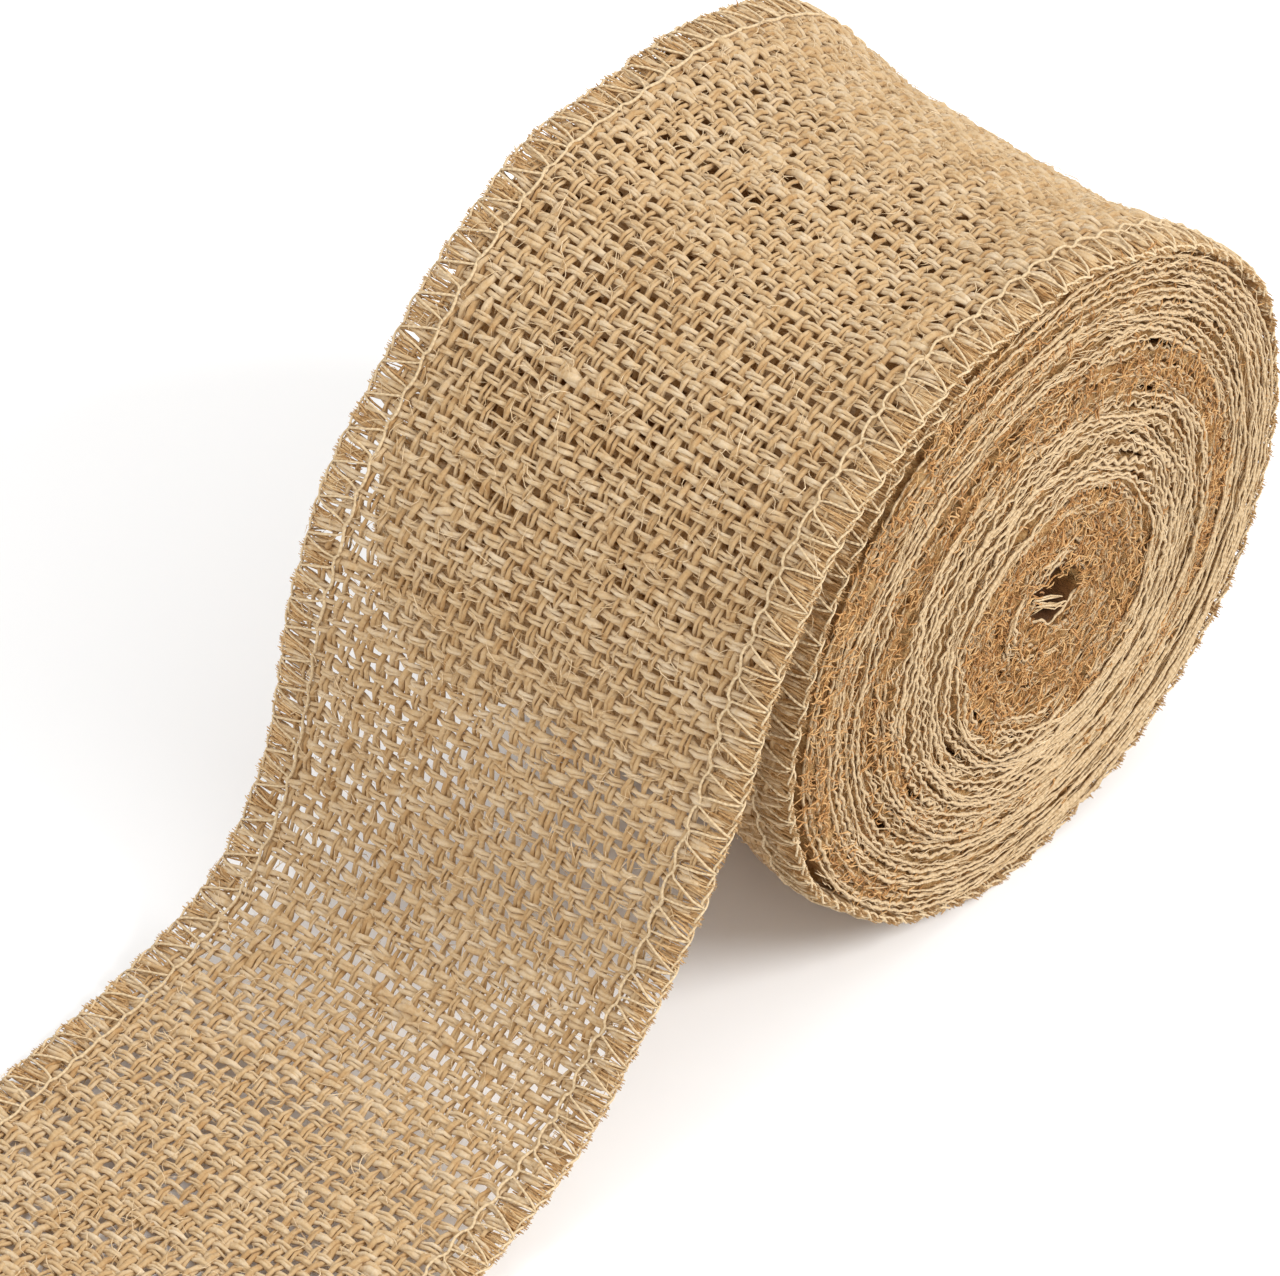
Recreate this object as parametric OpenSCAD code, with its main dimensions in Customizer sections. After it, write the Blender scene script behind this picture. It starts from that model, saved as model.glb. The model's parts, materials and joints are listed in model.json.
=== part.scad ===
// Roll of stitched-edge burlap ribbon with its loose end pulled down and laid flat.
// Millimetres. X runs along the roll's axis, -Y is the way the loose end runs, Z is up.
// The origin is under the middle of the whole part, at the level of the table.

/* [Ribbon] */
// Width of the ribbon from edge to edge
ribbon_w = 76.2; // [50:0.1:102]
// Thickness of the woven cloth between the stitched margins
web_t = 1.8; // [1.5:0.1:2.6]
// Width of the stitched margin along each edge
margin_w = 6.5; // [5:0.5:12]
// Thickness of the sewing thread lying on each face
thread_t = 0.32; // [0.2:0.02:0.5]

/* [Roll] */
// Outside diameter of the roll
roll_d = 108; // [84:1:140]
// Slack between one wound turn and the next
turn_gap = 0.3; // [0.2:0.05:0.8]
// Radius of the collapsed hollow in the middle
core_r = 4; // [3:0.5:8]

/* [Hanging run] */
// Steepest slope of the ribbon in front of the roll, in degrees
hang_angle = 70; // [64:1:74]
// Length of the bend over the top of the roll, as a share of its diameter
brow_share = 0.84; // [0.8:0.01:0.87]
// Length of the bend onto the table, as a share of the roll's diameter
landing_share = 0.95; // [0.85:0.01:0.98]

/* [Loose end] */
// Length of ribbon lying flat on the table
tail_l = 62; // [20:1:160]

/* [Hidden] */
slit = 0.03;
joint_gap = 0.3;
turn_steps = 32;
pitch = web_t + turn_gap;
roll_r = roll_d / 2;
axis_z = roll_r;
web_edge = ribbon_w / 2;
margin_x = ribbon_w / 2 - margin_w;
hem_n = web_t / 2 - thread_t - slit;
needle_w = 0.7;
round_roll = [];  // stands for the path of the outer turn, which is a true arc
wound_r = roll_r - web_t - joint_gap;
wound_turns = floor((wound_r - web_t - core_r) / pitch * turn_steps) / turn_steps;
// The outer turn stops under the place where the run has lifted clear of it.
outer_sweep = 342;

// The run: each stretch is [share of its length, share of its turn].
brow_l = brow_share * roll_d;
landing_l = landing_share * roll_d;
brow = [[0.18, 0.03], [0.16, 0.36], [0.38, 0.42], [0.28, 0.19]];
landing = [[0.18, 0.06], [0.37, 0.76], [0.45, 0.18]];
function stretches(shape, long, turn) = [for (s = shape) [s[0] * long, s[1] * turn]];
brow_s = stretches(brow, brow_l, hang_angle);
landing_s = stretches(landing, landing_l, -hang_angle);

// One step along an arc from [y, z, slope]; a turn of nearly nothing is a straight line.
function step(p, long, turn) =
    abs(turn) < 0.001
    ? [p[0] - long * cos(p[2]), p[1] - long * sin(p[2]), p[2]]
    : let (rho = long / (turn * PI / 180), to = p[2] + turn)
        [p[0] - rho * (sin(to) - sin(p[2])), p[1] + rho * (cos(to) - cos(p[2])), to];
function steps_in(s) = max(1, ceil(abs(s[1]) / 4));
function walk(p, shape, i = 0, k = 0) =
    i >= len(shape) ? [p]
    : let (n = steps_in(shape[i]), q = step(p, shape[i][0] / n, shape[i][1] / n))
        concat([p], k + 1 < n ? walk(q, shape, i, k + 1) : walk(q, shape, i + 1, 0));
function last(list) = list[len(list) - 1];

top_p = [0, axis_z + roll_r - web_t / 2, 0];
drop = top_p[1] - web_t / 2;
brow_drop = top_p[1] - last(walk(top_p, brow_s))[1];
landing_drop = -last(walk([0, 0, hang_angle], landing_s))[1];
straight_l = (drop - brow_drop - landing_drop) / sin(hang_angle);
run_s = concat(brow_s, [[straight_l, 0]], landing_s);
run = walk(top_p, run_s);
run_end_y = last(run)[0];
hinge_y = run_end_y - joint_gap - web_t / 2;
tail_end_y = hinge_y - tail_l;
// Moves the whole part so that the middle of its length is over the origin.
shift_y = -(roll_r + tail_end_y) / 2;

// A spiral path inwards from the top, going round the back first: [y, z, ny, nz].
function spiral(r0, turns) =
    [for (k = [0:round(turns * turn_steps)])
        let (t = 360 * k / turn_steps, r = r0 - pitch * k / turn_steps)
            [r * sin(t), axis_z + r * cos(t), sin(t), cos(t)]];
// The run's path with its upward side: [y, z, ny, nz].
run_path = [for (p = run) [p[0], p[1], -sin(p[2]), cos(p[2])]];
wound_path = spiral(wound_r - web_t / 2, wound_turns);
tail_path = [[hinge_y, web_t / 2, 0, 1], [tail_end_y, web_t / 2, 0, 1]];
run_cut = [for (i = [0:len(run_path) - 1])
    i == 0 ? [-slit, run_path[0][1], 0, 1] : run_path[i]];

// The outline between two heights above a path.
function beside(path, n) = [for (p = path) [p[0] + p[2] * n, p[1] + p[3] * n]];
function turned(list) = [for (i = [len(list) - 1:-1:0]) list[i]];
function outline(path, n0, n1) = concat(beside(path, n0), turned(beside(path, n1)));
function nose(n) = [for (a = [-75:15:75]) [hinge_y + n * cos(a), web_t / 2 + n * sin(a)]];

// A band of cloth or thread from x0 to x1 across the ribbon.
module band(points, x0, x1) {
    translate([x0, shift_y, 0])
        rotate([90, 0, 90])
            linear_extrude(x1 - x0)
                polygon(points);
}

// The woven cloth along a path: full thickness in the middle, thinner at the stitching.
module web(path) {
    color([0.76, 0.63, 0.43]) {
        band(outline(path, -web_t / 2, web_t / 2), -margin_x, margin_x);
        band(outline(path, -hem_n, hem_n), -web_edge, -margin_x);
        band(outline(path, -hem_n, hem_n), margin_x, web_edge);
    }
}

// Turns a section of the ribbon, [distance across, height above its middle], round the roll.
module outer_turn(section) {
    mid_r = roll_r - web_t / 2;
    translate([0, shift_y, axis_z])
        rotate([0, 90, 0])
            rotate([0, 0, 180 - outer_sweep])
                rotate_extrude(angle = outer_sweep, $fn = 180)
                    polygon([for (p = section) [mid_r + p[1], p[0]]]);
}
function rectangle(x0, x1, n0, n1) = [[x0, n0], [x1, n0], [x1, n1], [x0, n1]];
function web_section() = [
    [-web_edge, -hem_n],
    [-margin_x, -hem_n],
    [-margin_x, -web_t / 2],
    [margin_x, -web_t / 2],
    [margin_x, -hem_n],
    [web_edge, -hem_n],
    [web_edge, hem_n],
    [margin_x, hem_n],
    [margin_x, web_t / 2],
    [-margin_x, web_t / 2],
    [-margin_x, hem_n],
    [-web_edge, hem_n],
];

// Where each thread lies across the margin and through the cloth: [x0, x1, n0, n1].
needle_at = [margin_x + slit, margin_x + needle_w, hem_n + slit, web_t / 2];
looper_x = margin_x + needle_w + slit;
function looper_at(face) = face > 0
    ? [looper_x, web_edge, hem_n + slit, web_t / 2]
    : [looper_x, web_edge, -web_t / 2, -hem_n - slit];

// A thread along one edge; side is -1 for the left edge and 1 for the right.
module strip(path, side, at) {
    x0 = side < 0 ? -at[1] : at[0];
    x1 = side < 0 ? -at[0] : at[1];
    if (len(path) > 0)
        band(outline(path, at[2], at[3]), x0, x1);
    else
        outer_turn(rectangle(x0, x1, at[2], at[3]));
}

// The needle thread: the straight seam furthest from the edge.
module needle(path, side) {
    color([0.9, 0.83, 0.68]) strip(path, side, needle_at);
}

// A looper thread: the band of zigzags over one face of the margin, out to the edge.
module looper(path, side, face) {
    color([0.88, 0.8, 0.64]) strip(path, side, looper_at(face));
}

module wound_web() { web(wound_path); }
module wound_needle_left() { needle(wound_path, -1); }
module wound_needle_right() { needle(wound_path, 1); }
module wound_upper_looper_left() { looper(wound_path, -1, 1); }
module wound_upper_looper_right() { looper(wound_path, 1, 1); }
module wound_lower_looper_left() { looper(wound_path, -1, -1); }
module wound_lower_looper_right() { looper(wound_path, 1, -1); }

module outer_turn_web() {
    color([0.76, 0.63, 0.43]) outer_turn(web_section());
}
module outer_needle_left() { needle(round_roll, -1); }
module outer_needle_right() { needle(round_roll, 1); }
module outer_upper_looper_left() { looper(round_roll, -1, 1); }
module outer_upper_looper_right() { looper(round_roll, 1, 1); }
module outer_lower_looper_left() { looper(round_roll, -1, -1); }
module outer_lower_looper_right() { looper(round_roll, 1, -1); }

module hanging_run_web() { web(run_cut); }
module run_needle_left() { needle(run_cut, -1); }
module run_needle_right() { needle(run_cut, 1); }
module run_upper_looper_left() { looper(run_cut, -1, 1); }
module run_upper_looper_right() { looper(run_cut, 1, 1); }
module run_lower_looper_left() { looper(run_cut, -1, -1); }
module run_lower_looper_right() { looper(run_cut, 1, -1); }

// The loose end has a round nose about the line where it lifts off the table.
module tail_web() {
    color([0.76, 0.63, 0.43]) {
        band(concat(outline(tail_path, -web_t / 2, web_t / 2), turned(nose(web_t / 2))),
            -margin_x, margin_x);
        band(concat(outline(tail_path, -hem_n, hem_n), turned(nose(hem_n))),
            -web_edge, -margin_x);
        band(concat(outline(tail_path, -hem_n, hem_n), turned(nose(hem_n))),
            margin_x, web_edge);
    }
}
module tail_needle_left() { needle(tail_path, -1); }
module tail_needle_right() { needle(tail_path, 1); }
module tail_upper_looper_left() { looper(tail_path, -1, 1); }
module tail_upper_looper_right() { looper(tail_path, 1, 1); }
module tail_lower_looper_left() { looper(tail_path, -1, -1); }
module tail_lower_looper_right() { looper(tail_path, 1, -1); }

wound_web();
wound_needle_left();
wound_needle_right();
wound_upper_looper_left();
wound_upper_looper_right();
wound_lower_looper_left();
wound_lower_looper_right();
outer_turn_web();
hanging_run_web();
outer_needle_left();
outer_needle_right();
outer_upper_looper_left();
outer_upper_looper_right();
outer_lower_looper_left();
outer_lower_looper_right();
run_needle_left();
run_needle_right();
run_upper_looper_left();
run_upper_looper_right();
run_lower_looper_left();
run_lower_looper_right();
tail_web();
tail_needle_left();
tail_needle_right();
tail_upper_looper_left();
tail_upper_looper_right();
tail_lower_looper_left();
tail_lower_looper_right();
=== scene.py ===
"""Looks of a coreless roll of stitched-edge burlap ribbon, built round its CAD frame.

The cloth is woven from separate yarns, and the edges are sewn with their real threads.
Lengths are metres, and a number times MM is millimetres. "along" runs down the ribbon,
"across" over its width, and "up" away from the middle of its thickness.
"""

import json
import math

import bmesh
import bpy
import numpy as np
from mathutils import Matrix, Vector


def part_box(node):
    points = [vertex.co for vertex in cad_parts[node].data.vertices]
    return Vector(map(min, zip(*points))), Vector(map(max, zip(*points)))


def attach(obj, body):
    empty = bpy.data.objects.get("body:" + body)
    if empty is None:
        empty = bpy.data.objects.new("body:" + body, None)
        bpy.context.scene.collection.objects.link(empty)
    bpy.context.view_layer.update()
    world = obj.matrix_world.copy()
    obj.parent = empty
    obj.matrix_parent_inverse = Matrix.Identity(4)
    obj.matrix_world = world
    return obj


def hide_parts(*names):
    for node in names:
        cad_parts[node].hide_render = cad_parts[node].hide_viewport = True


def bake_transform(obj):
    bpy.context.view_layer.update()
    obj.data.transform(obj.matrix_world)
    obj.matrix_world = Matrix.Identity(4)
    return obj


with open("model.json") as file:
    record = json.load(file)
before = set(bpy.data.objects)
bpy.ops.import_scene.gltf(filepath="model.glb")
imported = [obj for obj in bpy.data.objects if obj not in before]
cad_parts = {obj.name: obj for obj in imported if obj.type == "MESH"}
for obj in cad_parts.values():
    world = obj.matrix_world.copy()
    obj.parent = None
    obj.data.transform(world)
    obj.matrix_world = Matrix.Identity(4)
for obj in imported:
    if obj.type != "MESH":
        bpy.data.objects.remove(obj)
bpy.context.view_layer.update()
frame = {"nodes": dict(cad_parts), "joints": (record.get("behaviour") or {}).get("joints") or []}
chance = np.random.default_rng(11)
MM = 0.001

# ---------------------------------------------------------------- sizes of the ribbon

joints = {j["name"]: j for j in frame["joints"]}
AXIS_Y, AXIS_Z = joints["roll_turn"]["pos_m"][1:]
outer_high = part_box("outer_turn_web")[1]
wound_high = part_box("wound_web")[1]
tail_low, tail_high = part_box("tail_web")
seam_low, seam_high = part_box("tail_needle_right")
HALF_W = outer_high.x
SEAM_X = (seam_low.x + seam_high.x) / 2  # where the straight seam runs
MARGIN = HALF_W - SEAM_X
WEB_T = tail_high.z - tail_low.z
ROLL_R = outer_high.z - AXIS_Z
WOUND_R = wound_high.z - AXIS_Z
TURN_PITCH = WEB_T + 0.3 * MM
OUTER_SWEEP = math.radians(342)  # the outer turn is a plain arc round the roll
STEEPEST = 70  # degrees from level, where the hanging run falls straight
BROW, LANDING = 0.84 * 2 * ROLL_R, 0.95 * 2 * ROLL_R  # lengths of the run's two curves

STITCHES_ROUND = 61  # stitches along the outer turn
WARPS, YARN_PITCH, PICK_PITCH = 33, 2.13 * MM, 2.12 * MM
CRIMP = 0.40 * MM  # how far a yarn swings over and under the others
WARP_R, WEFT_R = 0.62 * MM, 0.69 * MM
THREAD_R = 0.18 * MM
PRESSED_IN = 2.4 * MM  # how far the middle of the roll lies below its thick sewn edges
SLACK = 0.55 * MM  # more room between the wound turns and the outer turn there
PLY_TWIST = 15 * MM  # length in which a yarn's plies go once round each other


def smooth(low, high, value):
    """0 below low, 1 above high, and a soft step between."""
    t = np.clip((np.asarray(value, float) - low) / (high - low), 0, 1)
    return t * t * (3 - 2 * t)


def hump(value, middle, width):
    return np.exp(-(((value - middle) / width) ** 2))


def wander(length, step, size):
    """An irregular but smooth series for points along a length, for slubs and drift."""
    knots = max(4, int(length / step) + 3)
    values = chance.normal(0, size, knots)
    return lambda at: np.interp(at, np.linspace(0, length, knots), values)


# ---------------------------------------------------------------- the ribbon's path


def run_stretches():
    """The hanging run as [length, turn downwards in degrees], as it lies in the frame."""
    over = [(0.18, 0.03), (0.16, 0.36), (0.38, 0.42), (0.28, 0.19)]
    onto = [(0.18, 0.06), (0.37, 0.76), (0.45, 0.18)]
    down = [(a * BROW, b * STEEPEST) for a, b in over]
    out = [(a * LANDING, -b * STEEPEST) for a, b in onto]
    fall = 2 * ROLL_R - WEB_T
    drop = fall + walk([(0, 0, 0)], down)[-1][1] + walk([(0, 0, STEEPEST)], out)[-1][1]
    return down + [(drop / math.sin(math.radians(STEEPEST)), 0)] + out


def walk(start, stretches, steps=10):
    """Follows the stretches from the last of start's (y, z, slope)."""
    points = list(start)
    for length, turn in stretches:
        for _ in range(steps):
            y, z, slope = points[-1]
            a, b = math.radians(slope), math.radians(slope + turn / steps)
            part = length / steps
            if abs(b - a) < 1e-6:
                y, z = y - part * math.cos(a), z - part * math.sin(a)
            else:
                rho = part / (b - a)
                y -= rho * (math.sin(b) - math.sin(a))
                z += rho * (math.cos(b) - math.cos(a))
            points.append((y, z, math.degrees(b)))
    return points


def lead_path():
    """Rows of (length along, y, z, lean) from the tucked end to the cut end; 0 along is the top
    of the roll."""
    turn = np.linspace(OUTER_SWEEP, 0, 240)
    r = ROLL_R - WEB_T / 2
    round_roll = np.stack([r * np.sin(turn), r * np.cos(turn), turn], 1)
    run = np.array(walk([(0.0, r, 0.0)], run_stretches()))
    rest = run[-1][0] - (tail_low.y - AXIS_Y)
    run = np.vstack([run, np.array(walk([tuple(run[-1])], [(rest, 0)]))[1:]])
    run[:, 2] = -np.radians(run[:, 2])
    rows = np.vstack([round_roll[:-1], run])
    along = np.r_[0, np.cumsum(np.hypot(*np.diff(rows[:, :2], axis=0).T))]
    along -= along[len(round_roll) - 1]
    return np.column_stack([along, rows[:, 0] + AXIS_Y, rows[:, 1] + AXIS_Z, rows[:, 2]])


LEAD = lead_path()
LEAD_START, LEAD_END = LEAD[0, 0], LEAD[-1, 0]
STITCH = -LEAD_START / STITCHES_ROUND


def lead_lift(along, across):
    """How far the cloth stands off its even path: pressed in between the sewn edges on the
    roll, a slight twist in the hanging run, and a little waviness."""
    on_roll = 1 - smooth(0, 60 * MM, along)
    middle = 1 - smooth(17 * MM, 33 * MM, np.abs(across))
    share = across / (2 * HALF_W)
    twist = -5.5 * MM * hump(along, 85 * MM, 28 * MM)
    twist = twist + 8.8 * MM * hump(along, 138 * MM, 24 * MM)
    edge = smooth(20 * MM, 38 * MM, np.abs(across))
    ripple = 0.45 * MM * np.sin(along / (9.5 * MM) + np.sign(across) * 1.3)
    ripple += 0.3 * MM * np.sin(along / (4.3 * MM) + across / (12 * MM))
    on_table = smooth(120 * MM, 190 * MM, along)
    settle = 0.4 * MM * on_table
    bulge = 1.0 * MM * hump(along, 95 * MM, 30 * MM) * (1 - (share * 2) ** 2)
    ripple = ripple * edge * (1 - 0.6 * on_table)
    return -PRESSED_IN * middle * on_roll + share * twist + ripple + settle + bulge


def on_lead(along, across, up):
    """Points of the outer turn, the hanging run and the loose end, up above the cloth's middle."""
    along, across, up = np.broadcast_arrays(along, across, up)
    y, z, lean = (np.interp(along, LEAD[:, 0], LEAD[:, k]) for k in (1, 2, 3))
    off = up + lead_lift(along, across)
    z = np.maximum(z + np.cos(lean) * off, 0.2 * MM)  # nothing lies in the table
    return np.stack([across, y + np.sin(lean) * off, z], -1)


def wound_spiral():
    """Rows of (length along, radius, angle) for the wound turns, from the outside in. They start
    under the end of the outer turn, and the first ones step inwards just before they meet it."""
    turns = (WOUND_R - WEB_T - HOLLOW_R) / TURN_PITCH
    turn = np.linspace(-0.08, turns, int(turns * 90))
    stepped = np.floor(turn) + smooth(0.5, 0.92, turn % 1)
    depth = np.maximum(turn + smooth(6, 0, turn) * (stepped - turn), 0)
    radius, angle = WOUND_R - WEB_T / 2 - TURN_PITCH * depth, turn * 2 * math.pi
    along = np.r_[0, np.cumsum(np.diff(angle) * (radius[1:] + radius[:-1]) / 2)]
    return np.column_stack([along, radius, angle])


HOLLOW_R = 4.2 * MM  # the collapsed hollow in the middle, before it is flattened
# How far the turns sit from the roll's axis: share of the roll's radius, mm back, mm up.
SAG = np.array([
    (0, 6.0, -6.4), (0.15, 5.9, -7.2), (0.42, 4.9, -8.1), (0.63, 3.7, -5.2), (1, 0, 0),
])
WOUND = wound_spiral()
WOUND_L = WOUND[-1, 0]
MOST_TURNS = 40  # more than the roll has
turn_shift = {side: chance.normal(0, 0.2 * MM, MOST_TURNS) for side in (-1, 1)}


def wound_place(along):
    return (np.interp(along, WOUND[:, 0], WOUND[:, k]) for k in (1, 2))


def telescoped(along, side):
    """How far the edge of each wound turn stands out past, or back from, the roll's end."""
    turn = np.interp(along, WOUND[:, 0], WOUND[:, 2]) / (2 * math.pi)
    each = np.interp(turn, np.arange(MOST_TURNS), turn_shift[side])
    band = 0.35 * MM * np.sin(turn * 0.95 + 0.6 * side)
    band = band + 0.15 * MM * np.sin(turn * 2 * math.pi * 1.02 + side)
    hollow = 1.3 * MM * smooth(15, 23, turn)
    return (each + band) * smooth(0, 3, turn) - hollow


def fuzzy(along, side):
    """1 where the cut ends stand out as brown fuzz between the threads, 0 where the threads lie
    on top: a fuzzy heart, a band of threads, a fuzzy ring, and a mixture out to the edge."""
    r, angle = wound_place(along)
    r = r + 0.8 * MM * np.sin(2 * angle + side) + 0.5 * MM * np.sin(5 * angle + r / (2 * MM))
    quick = np.sin(r / (0.9 * MM) + 2.3 * np.sin(angle)) * np.sin(2 * angle + r / (4 * MM))
    round_hollow = hump(r, 8.5 * MM, 1.6 * MM) * smooth(-0.2, 0.6, np.sin(angle + 2.6))
    heart = smooth(23, 17, r / MM) * (1 - 0.7 * round_hollow)
    ring = hump(r, 37 * MM, 3.2 * MM) * (0.75 + 0.35 * np.cos(angle - 0.4))
    rim = hump(r, 48 * MM, 4 * MM) * (0.3 - 0.6 * np.sin(angle - 0.5))
    return smooth(0.15, 0.75, heart + ring + rim + 0.3 * quick)


def on_wound(along, across, up):
    """Points of the wound turns; the inner ones sit off centre and the hollow is flattened."""
    along, across, up = np.broadcast_arrays(along, across, up)
    r, angle = wound_place(along)
    middle = 1 - smooth(17 * MM, 33 * MM, np.abs(across))
    r = r + up - (PRESSED_IN + SLACK) * middle * smooth(0.5, 1.0, r / WOUND_R)
    crumple = 0.4 * MM * np.sin(angle * 5 + r * 900) + 0.3 * MM * np.sin(angle * 9.3)
    r = np.maximum(r + crumple * (1 - smooth(0.75, 0.95, r / WOUND_R)), HOLLOW_R)
    share = np.clip(r / WOUND_R, 0, 1)
    heart = smooth(0.3, 0.06, share)
    y, z = r * np.sin(angle) * (1 + 0.15 * heart), r * np.cos(angle) * (1 - 0.25 * heart)
    y = y + np.interp(share, SAG[:, 0], SAG[:, 1]) * MM
    z = z + np.interp(share, SAG[:, 0], SAG[:, 2]) * MM
    return np.stack([across, AXIS_Y + y, AXIS_Z + z], -1)


# ---------------------------------------------------------------- yarns and threads


def strands(name, lines, sides=4):
    """One mesh of round strands. Each line is (points, radii, tone): tone shades the strand."""
    curve = bpy.data.curves.new(name, "CURVE")
    curve.dimensions = "3D"
    curve.bevel_depth = 1.0
    curve.bevel_resolution = (sides - 4) // 2
    along, tones, picks = [], [], []
    for points, radii, tone in lines:
        n = len(points)
        spline = curve.splines.new("POLY")
        spline.points.add(n - 1)
        places = np.column_stack([points, np.ones(n)]).astype(np.float32)
        spline.points.foreach_set("co", places.ravel())
        spline.points.foreach_set("radius", np.asarray(radii, np.float32))
        far = np.r_[0, np.cumsum(np.linalg.norm(np.diff(points, axis=0), axis=1))]
        along.append(np.repeat(far / MM, sides))
        tones.append(np.full(n * sides, tone))
        picks.append(np.full(n * sides, chance.random()))
    carrier = bpy.data.objects.new(name, curve)
    mesh = bpy.data.meshes.new_from_object(carrier)
    bpy.data.objects.remove(carrier)
    bpy.data.curves.remove(curve)
    mesh.name = name
    facts = np.column_stack([np.concatenate(k) for k in (along, tones, picks)])
    strand = mesh.attributes.new("strand", "FLOAT_VECTOR", "POINT")
    strand.data.foreach_set("vector", facts.astype(np.float32).ravel())
    piece = bpy.data.objects.new(name, mesh)
    bpy.context.scene.collection.objects.link(piece)
    return piece


def closed_ends(radii):
    """The same radii, drawn in to a point at both ends."""
    radii = np.array(radii, float)
    radii[[0, -1]] *= 0.03
    return radii


def slubby(length, at, size):
    """Radii of a hand-spun looking yarn: thick and thin, with a few soft slubs."""
    slow, quick = wander(length, 16 * MM, 0.10), wander(length, 4 * MM, 0.08)
    swell = np.ones(len(at))
    for _ in range(chance.poisson(length / (95 * MM))):
        swell += chance.uniform(0.2, 0.5) * hump(at, chance.uniform(0, length), 5 * MM)
    return size * np.clip((1 + slow(at) + quick(at)) * swell, 0.66, 1.6)


def plies(place, at, across, up, size, count, lengthwise, tone):
    """The plies of one yarn: bundles of fibre that wind slowly round its middle line."""
    far = at if lengthwise else across
    far = far - far[0]
    begin, lines = chance.uniform(0, 2 * math.pi), []
    thick = {2: 0.62, 3: 0.55}[count]
    for ply in range(count):
        turn = begin + 2 * math.pi * (ply / count + far / PLY_TWIST)
        turn = turn + wander(far[-1], 6 * MM, 0.4)(far)
        apart = size * (0.50 + wander(far[-1], 4 * MM, 0.15)(far))
        beside, above = apart * np.cos(turn) * 1.3, apart * np.sin(turn) * 0.66
        radii = size * thick * np.clip(1 + wander(far[-1], 1.8 * MM, 0.22)(far), 0.5, 1.6)
        where = (at, across + beside) if lengthwise else (at + beside, across)
        lines.append((place(*where, up + above), radii, tone + chance.normal(0, 0.13)))
    return lines


# Where each warp yarn and each pick of weft lies.
warp_x = (np.arange(WARPS) - WARPS // 2) * YARN_PITCH + chance.normal(0, 0.14 * MM, WARPS)
pick_count = int((LEAD_END - LEAD_START - 2 * MM) / PICK_PITCH)
pick_l = LEAD_START + 1.2 * MM + np.arange(pick_count) * PICK_PITCH
pick_l = pick_l + chance.normal(0, 0.15 * MM, pick_count)


def pick_bow(across):
    """Weft yarns lie slightly bowed and askew."""
    return 0.9 * MM * np.sin(across / (22 * MM)) + 0.02 * across


def warp_lines():
    """The plies of every warp yarn, cut at the top of the roll: the outer turn's, the run's."""
    step = np.arange(0, pick_count - 0.5, 0.5)
    before, after = [], []
    for i, x in enumerate(warp_x):
        at = np.interp(step, np.arange(pick_count), pick_l) + pick_bow(x)
        at = np.clip(at, LEAD_START, LEAD_END)
        at[0], at[-1] = LEAD_START + 0.2 * MM, LEAD_END - 0.2 * MM
        far = at - LEAD_START
        up = CRIMP * (-1) ** i * np.cos(math.pi * step)
        across = x + wander(far[-1], 11 * MM, 0.13 * MM)(far)
        size = slubby(far[-1], far, WARP_R if abs(x) < SEAM_X else 0.8 * WARP_R)
        top = int(np.searchsorted(at, 0))
        yarn_tone = chance.normal(0.42, 0.05)
        for points, radii, tone in plies(on_lead, at, across, up, size, 2, True, yarn_tone):
            radii = closed_ends(radii)
            before.append((points[: top + 1], radii[: top + 1], tone))
            after.append((points[top:], radii[top:], tone))
    return before, after


def weft_lines(start, end):
    """The plies of the weft yarns between two places along the ribbon. Past the seam the yarns
    are drawn together in the middle of each stitch."""
    lines = []
    reach = HALF_W - 0.4 * MM
    across = np.arange(-reach, reach + 0.2 * MM, 1.07 * MM)
    k = np.interp(across, warp_x, np.arange(WARPS))
    drawn = 0.14 * smooth(SEAM_X + 1.0 * MM, HALF_W - 1.0 * MM, np.abs(across))
    for j, place in enumerate(pick_l):
        if not start <= place < end:
            continue
        up = -CRIMP * (-1) ** j * np.cos(math.pi * k)
        at = place + pick_bow(across) + wander(2 * reach, 9 * MM, 0.16 * MM)(across + reach)
        at = at + drawn * (np.round(at / STITCH) * STITCH - at)
        at = np.clip(at, LEAD_START + 0.4 * MM, LEAD_END - 0.4 * MM)
        size = slubby(2 * reach, across + reach, WEFT_R * chance.uniform(0.9, 1.1))
        size = size * (1 - 0.12 * smooth(reach - 4 * MM, reach, np.abs(across)))
        yarn_tone = chance.normal(0.56, 0.05)
        for points, radii, tone in plies(on_lead, at, across, up, size, 3, False, yarn_tone):
            lines.append((points, closed_ends(radii), tone))
    return lines


# Each stitch as (share of its length, mm out from the seam, mm above the cloth's middle).
# The seam is drawn outwards where a looper thread pulls on it.
SEAM_STITCH = [
    (0.00, 0.40, 0.80), (0.13, 0.02, 0.95), (0.40, -0.12, 1.10),
    (0.62, 0.05, 1.00), (0.74, 0.42, 0.85), (0.87, 0.55, 0.80),
]
# The looper goes slantwise out to the edge, round it, and straight back in.
LOOPER_STITCH = [
    (0.00, 0.40, 0.75), (0.07, 1.20, 0.95), (0.22, 3.30, 1.08), (0.37, 5.30, 0.98),
    (0.45, 6.25, 0.50), (0.50, 6.65, -0.05), (0.55, 6.20, 0.55), (0.61, 4.60, 1.00),
    (0.67, 2.40, 1.08), (0.73, 0.70, 0.88), (0.87, 0.45, 0.72),
]
STITCH_TABLE_MARGIN = 6.5 * MM  # the margin that the looper's figures are for


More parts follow.
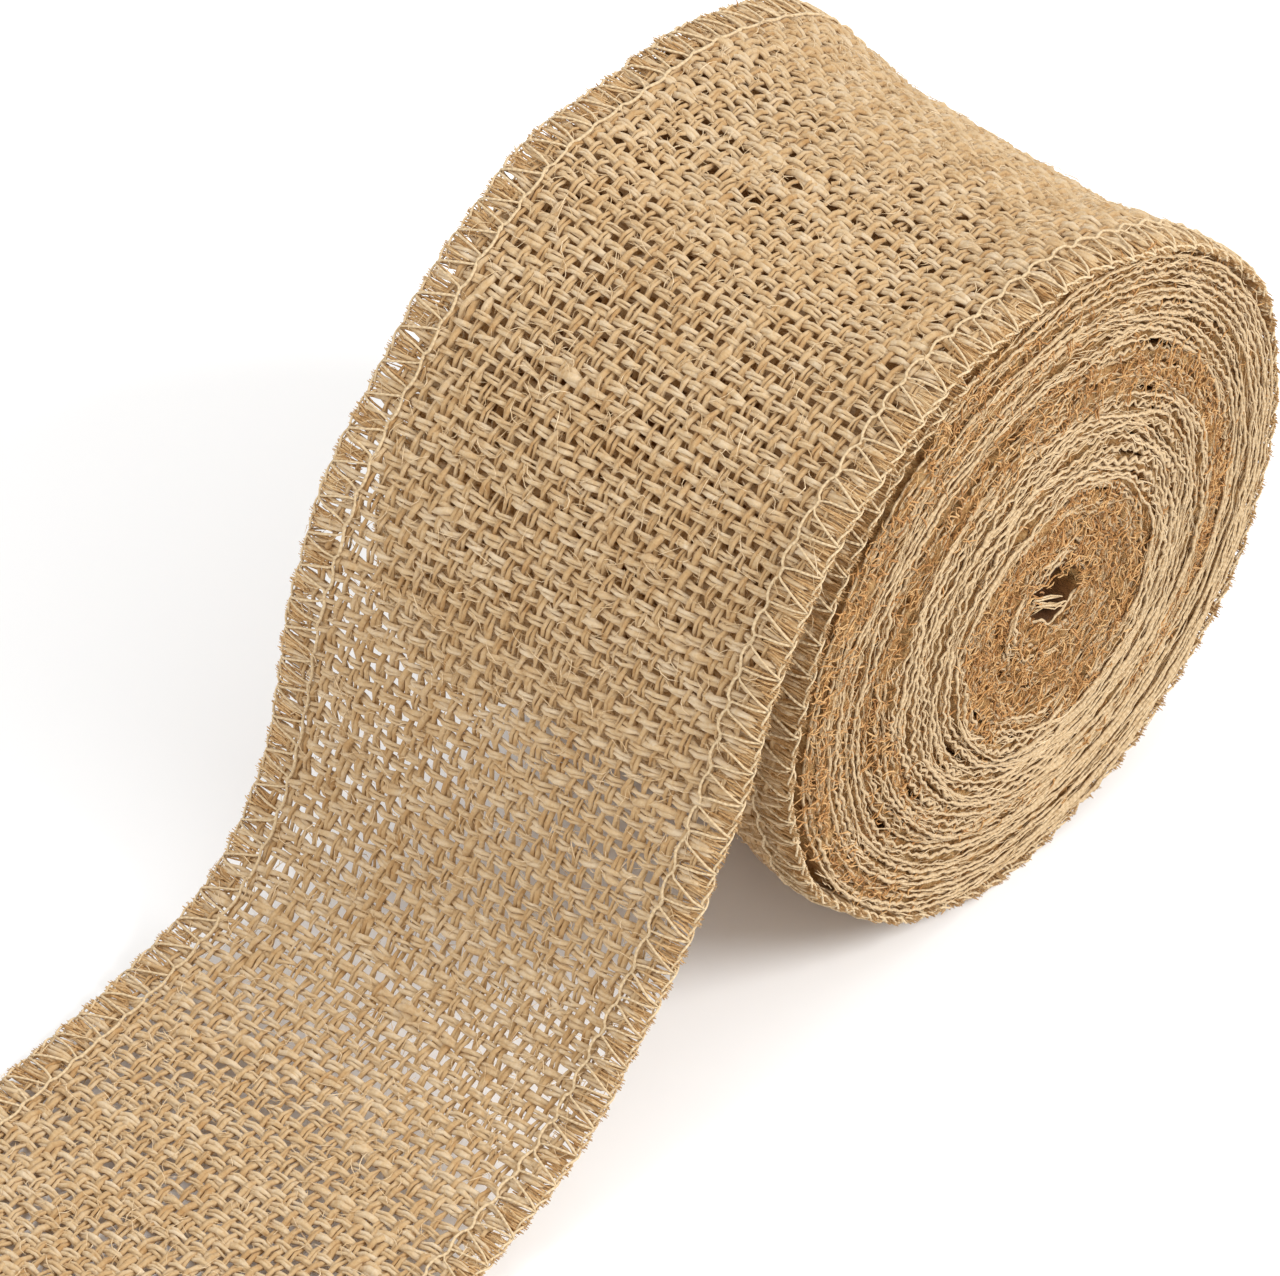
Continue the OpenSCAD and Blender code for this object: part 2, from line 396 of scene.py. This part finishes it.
def sewn(place, start, end, side, stitch, face=1, size=THREAD_R, loose=0.09):
    """One thread repeated stitch by stitch; the stitches of the outer turn and the run meet."""
    near = 1e-6  # closer than this counts as being there
    shape = np.array(stitch)
    count = np.arange(math.floor(start / STITCH), math.ceil(end / STITCH) + 1)
    at = ((count[:, None] + shape[:, 0]) * STITCH).ravel()
    out = np.tile(shape[:, 1], len(count)) * MM * MARGIN / STITCH_TABLE_MARGIN
    up = np.tile(shape[:, 2], len(count)) * MM * face
    free = (np.abs(at) > near).astype(float)
    slip = np.repeat(chance.normal(0, 0.035, len(count)), len(shape)) * STITCH
    at = at + free * slip * (np.abs(out) > 1 * MM)
    out = out + free * chance.normal(0, loose * MM, len(at))
    up = up + free * chance.normal(0, 0.06 * MM, len(at))
    keep = (at > start - near) & (at < end + near)
    x = side * (SEAM_X + out[keep])
    radii = np.full(keep.sum(), size) * chance.uniform(0.85, 1.15, keep.sum())
    return place(at[keep], x, up[keep]), radii


def edge_chain(place, start, end, side, phase):
    """The loops of the two looper threads that lock along the edge, as a scalloped line."""
    at = np.arange(start, end, STITCH / 8)
    t = 2 * math.pi * at / STITCH + phase
    rough = wander(end - start, 2.5 * MM, 0.12 * MM)
    up = 0.42 * MM * np.sin(t) + rough(at - start)
    x = HALF_W - 0.05 * MM + 0.25 * MM * np.cos(t) + rough(end - at)
    return place(at, side * x, up), np.full(len(at), THREAD_R)


def hair_lines(points, thick, tone):
    """Strands that thin towards both ends, from points (strand, place along it, xyz)."""
    taper = np.interp(np.linspace(0, 1, points.shape[1]), [0, 0.2, 0.7, 1], [0.5, 1, 0.9, 0.3])
    return [(p, taper * r, t) for p, r, t in zip(points, thick, tone)]


def fibres(place, roots, reach, lift):
    """Loose jute fibres: from each root (along, across, up) one strays, mostly beside a yarn."""
    n, t = len(roots), np.linspace(0, 1, 4)
    heading = np.where(chance.random(n) < 0.65, math.pi / 2, 0) + math.pi * chance.integers(0, 2, n)
    heading = heading + chance.normal(0, 0.45, n)
    angle = heading[:, None] + chance.normal(0, 0.8, n)[:, None] * t
    far = (reach * chance.uniform(0.25, 1, n))[:, None] * t
    rise = (lift * chance.uniform(0, 1, n))[:, None] * np.sin(t * 2.5)
    along, across, up = roots.T[..., None]
    across = np.clip(across + far * np.sin(angle), -HALF_W, HALF_W)
    points = place(along + far * np.cos(angle), across, up + rise)
    return hair_lines(points, chance.uniform(0.05, 0.09, n) * MM, chance.uniform(0.3, 1.0, n))


def edge_tufts(place, start, end, side, each=38):
    """The cut weft ends of each stitch, fanned out past the edge as a brown brush."""
    middle = np.arange(math.ceil(start / STITCH), math.floor(end / STITCH) + 1) * STITCH
    n, t = len(middle) * each, np.linspace(0, 1, 3)
    middle = np.repeat(middle, each)
    fan = np.clip(chance.normal(0, 0.3, n), -0.5, 0.5) * STITCH
    reach = 0.85 * MM * (1 - (fan / (0.5 * STITCH)) ** 2) * chance.uniform(0.3, 1.15, n)
    reach = reach[:, None]
    inside = chance.uniform(1.2, 5.6, n)[:, None] * MM
    along = middle[:, None] + fan[:, None] * (0.7 + 0.3 * t)
    along = along + chance.normal(0, 0.14 * MM, (n, 3))
    x = HALF_W - inside + (inside + reach) * t
    up = np.clip(chance.normal(0, 0.42, n), -0.8, 0.8)[:, None] * MM * (1 - 0.4 * t)
    up = up + chance.normal(0, 0.08 * MM, (n, 3))
    thick = chance.uniform(0.14, 0.27, n) * MM
    return hair_lines(place(along, side * x, up), thick, chance.uniform(0.1, 0.95, n))


# ---------------------------------------------------------------- finishes


class Wire:
    """A shader socket that adds its Math nodes when it is used in an expression."""

    def __init__(self, finish, socket):
        self.finish, self.socket = finish, socket

    def _maths(self, operation, a, b):
        return self.finish.node("Math", {"operation": operation}, {0: a, 1: b})

    def __add__(self, other):
        return self._maths("ADD", self, other)

    def __sub__(self, other):
        return self._maths("SUBTRACT", self, other)

    def __mul__(self, other):
        return self._maths("MULTIPLY", self, other)


class Finish:
    """A material and the nodes that give it its pattern."""

    def __init__(self, name, roughness, **constant):
        self.material = bpy.data.materials.new(name)
        self.material.use_nodes = True
        self.tree = self.material.node_tree
        self.surface = self.tree.nodes["Principled BSDF"]
        self.surface.inputs["Roughness"].default_value = roughness
        for socket, value in constant.items():
            self.surface.inputs[socket.replace("_", " ")].default_value = value

    def put(self, socket, value):
        if isinstance(value, Wire):
            self.tree.links.new(value.socket, socket)
        else:
            socket.default_value = value

    def node(self, kind, settings=None, values=None, out=0):
        made = self.tree.nodes.new("ShaderNode" + kind)
        for key, value in (settings or {}).items():
            if key == "stops":
                ramp = made.color_ramp
                while len(ramp.elements) < len(value):
                    ramp.elements.new(1.0)
                for stop, (at, colour) in zip(ramp.elements, value):
                    stop.position, stop.color = at, (*colour, 1)
            else:
                setattr(made, key, value)
        for key, value in (values or {}).items():
            self.put(made.inputs[key], value)
        return Wire(self, made.outputs[out])

    def sine(self, value):
        return self.node("Math", {"operation": "SINE"}, {0: value})

    def noise(self, where, scale, detail=3.0, rough=0.55):
        values = {"Vector": where, "Scale": scale, "Detail": detail, "Roughness": rough}
        return self.node("TexNoise", {}, values)

    def surface_from(self, colour, height, strength, depth):
        self.put(self.surface.inputs["Base Color"], colour)
        bump = self.node("Bump", {}, {"Strength": strength, "Distance": depth, "Height": height})
        self.put(self.surface.inputs["Normal"], bump)
        return self.material


def strand_parts(finish):
    """(length along the strand in mm, its tone, its own chance value, share of the way round it,
    place on the object)."""
    facts = finish.node("Attribute", {"attribute_name": "strand"}, out=1)
    split = finish.node("SeparateXYZ", {}, {0: facts}).socket.node
    along, tone, own = (Wire(finish, split.outputs[k]) for k in range(3))
    around = finish.node("SeparateXYZ", {}, {0: finish.node("UVMap", {"uv_map": "UVMap"})})
    place = finish.node("TexCoord", out=3)
    return along, tone, own, around, place


def jute_finish(name, dark, mid, light):
    """Spun jute: streaks of fibre that run with the strand, and a tone that drifts from place to
    place. A faint warm painted glow lifts its shaded holes and gaps, standing in for light that seeps
    through thin fibre."""
    # Painted glow: a faint warm emission on all jute that lifts the shade in holes and gaps, for light
    # seeping through thin fibre.
    painted_glow = {"Emission_Color": (1.0, 0.42, 0.09, 1), "Emission_Strength": 0.035}
    sheen = {"Sheen_Weight": 0.1, "Sheen_Roughness": 0.5, "Specular_IOR_Level": 0.2}
    jute = Finish(name, 0.9, **sheen, **painted_glow)
    along, tone, own, around, place = strand_parts(jute)
    lengthwise = jute.node("CombineXYZ", {}, {0: around * 8.0, 1: along * 0.6, 2: own * 57.0})
    streak = jute.noise(lengthwise, 1.0, 3.0, 0.6)
    drift = jute.noise(place, 230.0, 2.0)
    grain = jute.noise(place, 2300.0, 3.0, 0.7)
    shade = tone * 0.6 + drift * 0.7 + streak * 1.2 + grain * 0.8 - 1.15
    lightest = tuple(c * 1.1 for c in light)
    stops = [(0.0, dark), (0.48, mid), (0.85, light), (1.0, lightest)]
    colour = jute.node("ValToRGB", {"stops": stops}, {0: shade})
    return jute.surface_from(colour, streak + grain * 0.8, 0.9, 0.22 * MM)


def sewing_finish(name, light, dark):
    """Spun sewing thread: two plies twisted tightly, slightly hairy."""
    thread = Finish(name, 0.8, Sheen_Weight=0.1, Specular_IOR_Level=0.2)
    along, tone, own, around, place = strand_parts(thread)
    grain = thread.noise(place, 1500.0, 3.0, 0.6)
    ply = thread.sine(around * (2 * math.pi * 2) + along * 7.5)
    shade = tone * 0.4 + grain * 0.9 + ply * 0.1 - 0.2
    colour = thread.node("ValToRGB", {"stops": [(0.1, dark), (0.8, light)]}, {0: shade})
    return thread.surface_from(colour, ply + grain * 0.5, 0.6, 0.08 * MM)


def inner_cloth_finish(name):
    """The cloth of the wound turns, seen down the gaps, through the weave and behind the fuzz. Its
    colour is painted darker, down to near black, towards the hollow at the middle: painted shade for
    that deep recess."""
    cloth = Finish(name, 0.95, Specular_IOR_Level=0.15)
    place = cloth.node("TexCoord", out=3)
    weave = cloth.noise(place, 420.0, 2.0)
    drawn_out = cloth.node("VectorMath", {"operation": "MULTIPLY"}, {0: place, 1: (0.3, 1.0, 1.0)})
    hair = cloth.noise(drawn_out, 1900.0, 4.0, 0.75)
    split = cloth.node("SeparateXYZ", {}, {0: place}).socket.node
    from_y = Wire(cloth, split.outputs[1]) - (AXIS_Y + SAG[0, 1] * MM)
    from_z = Wire(cloth, split.outputs[2]) - (AXIS_Z + SAG[0, 2] * MM)
    # Painted shade: within about 4.3 to 6 mm of the collapsed hollow the colour is drawn down towards
    # the near-black first stop, for the shadow down that recess.
    limits = {"From Min": (4.3 * MM) ** 2, "From Max": (6.0 * MM) ** 2}
    away = from_y * from_y + from_z * from_z
    clear_of_painted_shade = cloth.node("MapRange", {}, {"Value": away, **limits})
    # The near-black first stop is reached mostly inside the painted shade at the hollow.
    stops = [
        (0.0, (0.05, 0.018, 0.006)), (0.28, (0.19, 0.08, 0.022)),
        (0.46, (0.43, 0.22, 0.075)), (0.64, (0.58, 0.36, 0.155)),
    ]
    shade = (weave * 0.7 + hair * 0.9 - 0.3) * (clear_of_painted_shade * 0.9 + 0.1)
    colour = cloth.node("ValToRGB", {"stops": stops}, {0: shade})
    return cloth.surface_from(colour, weave + hair * 1.5, 1.0, 0.6 * MM)


def plain_finish(name, colour, roughness):
    return Finish(name, roughness, Specular_IOR_Level=0.1, Base_Color=(*colour, 1)).material


# Each jute from its darkest colour to its lightest.
warp_jute = jute_finish("warp_jute", (0.35, 0.20, 0.08), (0.46, 0.315, 0.163), (0.53, 0.40, 0.248))
weft_jute = jute_finish(
    "weft_jute", (0.39, 0.235, 0.10), (0.51, 0.372, 0.214), (0.57, 0.457, 0.312)
)
hem_jute = jute_finish(
    "hem_jute_ends", (0.30, 0.155, 0.052), (0.50, 0.315, 0.145), (0.60, 0.44, 0.245)
)
cut_jute = jute_finish(
    "cut_jute_ends", (0.22, 0.085, 0.021), (0.46, 0.235, 0.08), (0.60, 0.385, 0.175)
)
loose_jute = jute_finish(
    "loose_jute_fibres", (0.34, 0.21, 0.095), (0.56, 0.405, 0.225), (0.72, 0.57, 0.375)
)
cream_thread = sewing_finish("cream_sewing_thread", (0.68, 0.53, 0.335), (0.48, 0.34, 0.185))
worn_thread = sewing_finish("worn_sewing_thread", (0.63, 0.48, 0.295), (0.42, 0.275, 0.135))
inner_cloth = inner_cloth_finish("inner_cloth")


def finish_piece(piece, material):
    piece.data.materials.clear()
    piece.data.materials.append(material)
    return piece


# ---------------------------------------------------------------- outer turn, run and loose end


def belongs_to_leader(piece):
    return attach(piece, "leader")


def bends_to_loose_end(piece):
    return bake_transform(piece)


# Of each part: where it starts and ends, what is done with its pieces (the outer turn's are attached
# to the leader body, the run's only have their transform baked), its webs, and its threads' names.
PARTS = {
    "outer_turn": (LEAD_START, 0.0, belongs_to_leader, ["outer_turn_web"], ("outer_",)),
    "run_and_loose_end": (
        0.0, LEAD_END, bends_to_loose_end, ["hanging_run_web", "tail_web"], ("run_", "tail_"),
    ),
}
# Loose fibres on top, in the weave and below: how many to a metre, the lowest and highest root
# above the cloth's middle, how far they stray and how far they lift (mm).
LOOSE_FIBRES = [(8500, 0.3, 1.0, 4.5, 0.4), (6500, -0.5, 0.4, 3.0, 0.3), (1700, -1.0, -0.3, 5.0, -0.3)]
cad_threads = [n for n in frame["nodes"] if not n.endswith("_web")]


def lead_roots(start, end, per_metre, low, high):
    """Random roots for fibres, between two heights (mm) about the cloth's middle."""
    count = int((end - start) * per_metre)
    return np.column_stack([
        chance.uniform(start, end, count),
        chance.uniform(-HALF_W + 1 * MM, HALF_W - 1 * MM, count),
        chance.uniform(low, high, count) * MM,
    ])


def build_lead(label, warp_plies):
    """The yarns, threads, cut ends and loose fibres of one part of the unwound ribbon."""
    start, end, hold, webs, prefix = PARTS[label]
    place = lambda l, x, up: on_lead(np.clip(l, start, end), x, up)
    warp = finish_piece(strands(label + "_warp", warp_plies), warp_jute)
    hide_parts(*webs)
    middle = (start + end) / 2
    halves = (("first", (start, middle)), ("second", (middle, end)))
    wefts = [
        finish_piece(strands(f"{label}_weft_{word}", weft_lines(*span)), weft_jute)
        for word, span in halves
    ]
    needles, loopers = [], []
    for side in (-1, 1):
        seam = (place, start, end, side, SEAM_STITCH)
        needles.append((*sewn(*seam, size=1.25 * THREAD_R, loose=0.06), 0.5))
        needles.append((*sewn(*seam, face=-1, loose=0.06), 0.5))
        for face in (1, -1):
            loopers.append((*sewn(place, start, end, side, LOOPER_STITCH, face), 0.6))
        loopers.append((*edge_chain(place, start, end, side, 0.0), 0.5))
        loopers.append((*edge_chain(place, start, end, side, 2.6), 0.7))
    needles = strands(label + "_needle_threads", needles, 6)
    needles = finish_piece(needles, cream_thread)
    loopers = strands(label + "_looper_threads", loopers, 6)
    loopers = finish_piece(loopers, cream_thread)
    mine = [n for n in cad_threads if n.startswith(prefix)]
    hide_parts(*[n for n in mine if "needle" in n])
    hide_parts(*[n for n in mine if "looper" in n])
    tufts = [line for side in (-1, 1) for line in edge_tufts(place, start, end, side)]
    tufts = finish_piece(strands(label + "_cut_weft_ends", tufts), hem_jute)
    hair = []
    for per_metre, low, high, reach, lift in LOOSE_FIBRES:
        roots = lead_roots(start, end, per_metre, low, high)
        hair += fibres(place, roots, reach * MM, lift * MM)
    hair = finish_piece(strands(label + "_loose_fibres", hair), loose_jute)
    pieces = [warp, *wefts, needles, loopers, tufts, hair]
    for piece in pieces:
        hold(piece)
    return pieces


# ---------------------------------------------------------------- wound turns

END_FIBRES = 5200  # at most, of each kind on each end of the roll


def wound_cloth():
    """The wound turns as one spiral sheet, a little narrower than the sewn edges."""
    bm = bmesh.new()
    bmesh.ops.create_grid(bm, x_segments=len(WOUND) - 1, y_segments=7, size=1.0)
    for v in bm.verts:
        l = (v.co.x + 1) / 2 * WOUND_L
        reach = [HALF_W - 0.8 * MM + float(telescoped(l, s)) for s in (-1, 1)]
        x = -reach[0] + (v.co.y + 1) / 2 * (reach[0] + reach[1])
        if abs(v.co.y) > 0.99:
            x += chance.normal(0, 0.25 * MM)
        _, angle = wound_place(l)
        v.co = on_wound(l, x, -(0.25 + 0.45 * smooth(4 * math.pi, 0, angle)) * MM)
    mesh = bpy.data.meshes.new("wound_cloth")
    bm.to_mesh(mesh)
    bm.free()
    cloth = bpy.data.objects.new("wound_cloth", mesh)
    bpy.context.scene.collection.objects.link(cloth)
    thick = cloth.modifiers.new("cloth_thickness", "SOLIDIFY")
    thick.thickness, thick.offset = 1.95 * MM, 0.0
    mesh.shade_smooth()
    return cloth


def end_threads(side):
    """The threads on the roll's end: two wavy lines to each turn, sunk where it is fuzzy."""
    at = np.arange(0, WOUND_L, 0.72 * MM)
    r, _ = wound_place(at)
    lines = []
    for off, phase in ((-0.55, 0.0), (0.5, 2.6)):
        t = 2 * math.pi * at / (2.7 * MM) + phase + wander(WOUND_L, 7 * MM, 1.2)(at)
        wave = 0.2 + 0.16 * smooth(0.95, 0.5, r / WOUND_R)
        wave = wave * (0.65 + 0.35 * np.sin(at / (31 * MM) + phase))
        up = (off + wave * np.sin(t)) * MM + wander(WOUND_L, 3 * MM, 0.13 * MM)(at)
        stand = 0.12 * MM + wander(WOUND_L, 4 * MM, 0.18 * MM)(at)
        stand = stand - 0.9 * MM * fuzzy(at, side)
        x = HALF_W + telescoped(at, side) + stand
        radii = 1.4 * THREAD_R * np.clip(1 + wander(WOUND_L, 2 * MM, 0.25)(at), 0.6, 1.7)
        lines.append((on_wound(at, side * x, up), radii, 0.6))
    return lines


def end_fuzz(side, count):
    """Pale crinkled fibres lying mostly along the turns on the roll's end."""
    root = chance.uniform(0, 0.99, 3 * count) * WOUND_L
    root = root[chance.random(len(root)) > 0.7 * fuzzy(root, side)][:count]
    t = np.linspace(-0.5, 0.5, 4)
    length = chance.uniform(1.5, 6.0, count) * MM
    at = np.clip(root[:, None] + length[:, None] * t, 0, WOUND_L)
    x = HALF_W + telescoped(root, side) + chance.uniform(-0.9, 0.35, count) * MM
    x = x[:, None] + chance.normal(0, 0.15 * MM, (count, 4))
    up = chance.normal(0, 0.6 * MM, count)[:, None] + chance.normal(0, 0.2 * MM, (count, 4))
    up = up + chance.normal(0, 0.16, count)[:, None] * length[:, None] * t
    tone = np.clip(0.62 - 0.4 * fuzzy(root, side) + chance.normal(0, 0.17, count), 0, 1)
    thick = chance.uniform(0.06, 0.12, count) * MM
    return hair_lines(on_wound(at, side * x, up), thick, tone)


def hollow_bridges(side):
    """Strands drawn across the collapsed hollow, so that it shows as two holes."""
    t = np.linspace(-1, 1, 5)
    lines = []
    for _ in range(9):
        x = side * (HALF_W - chance.uniform(1.4, 2.6) * MM)
        drop = SAG[0, 2] - chance.normal(2.3, 0.4)
        middle = np.array([x, AXIS_Y + SAG[0, 1] * MM, AXIS_Z + drop * MM])
        across = np.array([0, 4.6, -2.6 + chance.normal(0, 0.4)]) * MM
        bend = chance.normal(0, 0.22 * MM, (5, 3))
        radii = closed_ends(np.full(5, chance.uniform(0.1, 0.2) * MM))
        lines.append((middle + t[:, None] * across + bend, radii, 0.6))
    return lines


def end_curls(side, count):
    """Brown frayed weft ends between the threads, curling every way."""
    root = chance.uniform(0, 0.995, 4 * count) * WOUND_L
    root = root[chance.random(len(root)) < 0.12 + fuzzy(root, side)][:count]
    count = len(root)
    stand = (chance.uniform(-0.9, -0.1, count) + 0.35 * fuzzy(root, side)) * MM
    x = HALF_W + telescoped(root, side) + stand
    heading = chance.uniform(0, 2 * math.pi, count)[:, None]
    heading = heading + chance.normal(0, 1.6, count)[:, None] * np.linspace(0, 1, 4)
    step = chance.uniform(0.5, 0.95, count)[:, None] * MM
    at = np.clip(root[:, None] + np.cumsum(step * np.cos(heading), 1), 0, WOUND_L)
    up = chance.uniform(-0.8, 0.8, count)[:, None] * MM + np.cumsum(step * np.sin(heading), 1)
    x = x[:, None] + chance.normal(0, 0.2 * MM, (count, 4))
    thick, tone = chance.uniform(0.09, 0.17, count) * MM, chance.uniform(0.1, 1, count)
    return hair_lines(on_wound(at, side * x, up), thick, tone)


def build_wound():
    """The wound cloth, and the threads, fuzz and cut ends that show on the roll's two ends."""
    cloth = finish_piece(wound_cloth(), inner_cloth)
    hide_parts("wound_web")
    pieces = [cloth]
    for side, word in ((-1, "left"), (1, "right")):
        threads = strands(f"wound_edge_threads_{word}", end_threads(side))
        finish_piece(threads, worn_thread)
        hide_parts(*[n for n in cad_threads if n.startswith("wound_") and n.endswith(word)])
        fuzz = strands(f"wound_fuzz_{word}", end_fuzz(side, END_FIBRES) + hollow_bridges(side))
        finish_piece(fuzz, loose_jute)
        curls = strands(f"wound_cut_weft_ends_{word}", end_curls(side, END_FIBRES))
        finish_piece(curls, cut_jute)
        pieces += [threads, fuzz, curls]
    for piece in pieces:
        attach(piece, "roll")
    return pieces


outer_warp, run_warp = warp_lines()
outer_pieces = build_lead("outer_turn", outer_warp)
run_pieces = build_lead("run_and_loose_end", run_warp)
wound_pieces = build_wound()

# ---------------------------------------------------------------- table, light and camera


def build_table():
    bm = bmesh.new()
    bmesh.ops.create_grid(bm, x_segments=1, y_segments=1, size=6.0)
    mesh = bpy.data.meshes.new("table")
    bm.to_mesh(mesh)
    bm.free()
    table = bpy.data.objects.new("table", mesh)
    bpy.context.scene.collection.objects.link(table)
    mesh.materials.append(plain_finish("white_table", (0.93, 0.93, 0.93), 0.9))


def soft_lamp(name, place, aim, size, power):
    data = bpy.data.lights.new(name, "AREA")
    data.shape, data.size, data.energy = "DISK", size, power
    lamp = bpy.data.objects.new(name, data)
    bpy.context.scene.collection.objects.link(lamp)
    lamp.location = place
    lamp.rotation_mode = "QUATERNION"
    lamp.rotation_quaternion = (Vector(aim) - Vector(place)).to_track_quat("-Z", "Y")


def build_light():
    world = bpy.data.worlds.new("studio")
    bpy.context.scene.world = world
    world.use_nodes = True
    sky = world.node_tree.nodes["Background"]
    sky.inputs["Color"].default_value = (1, 1, 1, 1)
    sky.inputs["Strength"].default_value = 0.88
    soft_lamp("right_behind", (1.3, 0.55, 1.1), (0, 0.05, 0.05), 0.8, 26)
    soft_lamp("front_left", (-0.4, -1.05, 1.7), (0, 0, 0.03), 1.1, 14)
    bpy.context.scene.view_settings.view_transform = "Standard"
    bpy.context.scene.view_settings.look = "None"


def build_camera():
    azimuth, elevation, roll = math.radians(39.0), math.radians(42.88), math.radians(2.2)
    level = math.cos(elevation)
    back = Vector((math.sin(azimuth) * level, -math.cos(azimuth) * level, math.sin(elevation)))
    right = Vector((math.cos(azimuth), math.sin(azimuth), 0))
    up = back.cross(right)
    cos, sin = math.cos(roll), math.sin(roll)
    right, up = cos * right + sin * up, cos * up - sin * right
    data = bpy.data.cameras.new("camera")
    data.sensor_width = 36
    data.lens = 15.65 * data.sensor_width  # a long lens, used from far off
    data.clip_end = 50
    camera = bpy.data.objects.new("camera", data)
    bpy.context.scene.collection.objects.link(camera)
    turn = Matrix((right, up, back)).transposed().to_4x4()
    camera.matrix_world = Matrix.Translation((1.2927, AXIS_Y - 1.6371, 1.9556)) @ turn
    bpy.context.scene.camera = camera


build_table()
build_light()
build_camera()
